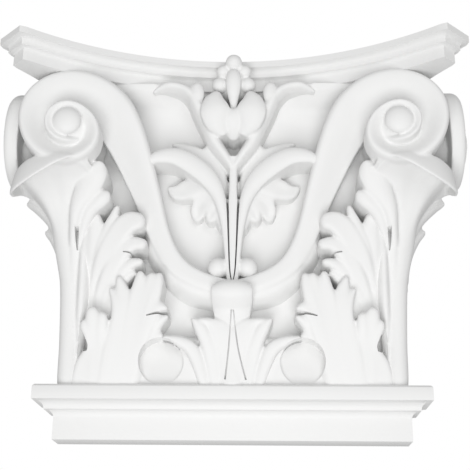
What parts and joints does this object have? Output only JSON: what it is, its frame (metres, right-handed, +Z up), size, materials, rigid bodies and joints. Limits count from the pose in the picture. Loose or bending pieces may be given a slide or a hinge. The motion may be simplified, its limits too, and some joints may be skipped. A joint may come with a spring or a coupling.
{
  "type": "pilaster capital",
  "caption": "Flat-backed white capital for a wall pilaster, moulded with acanthus leaves, corner volutes on a lyre-shaped ribbon, a palmette and a hollow-sided abacus.",
  "frame": {"origin": "middle of the flat back, half way up, where the capital meets the wall", "axes": "X to the viewer's right along the wall, Y into the wall, Z up; the carved front faces minus Y"},
  "size_m": [0.3052, 0.0953, 0.246],
  "materials": {
    "white_moulding": "matte"
  },
  "bodies": {
    "root": {"capital": "white_moulding"}
  },
  "joints": []
}
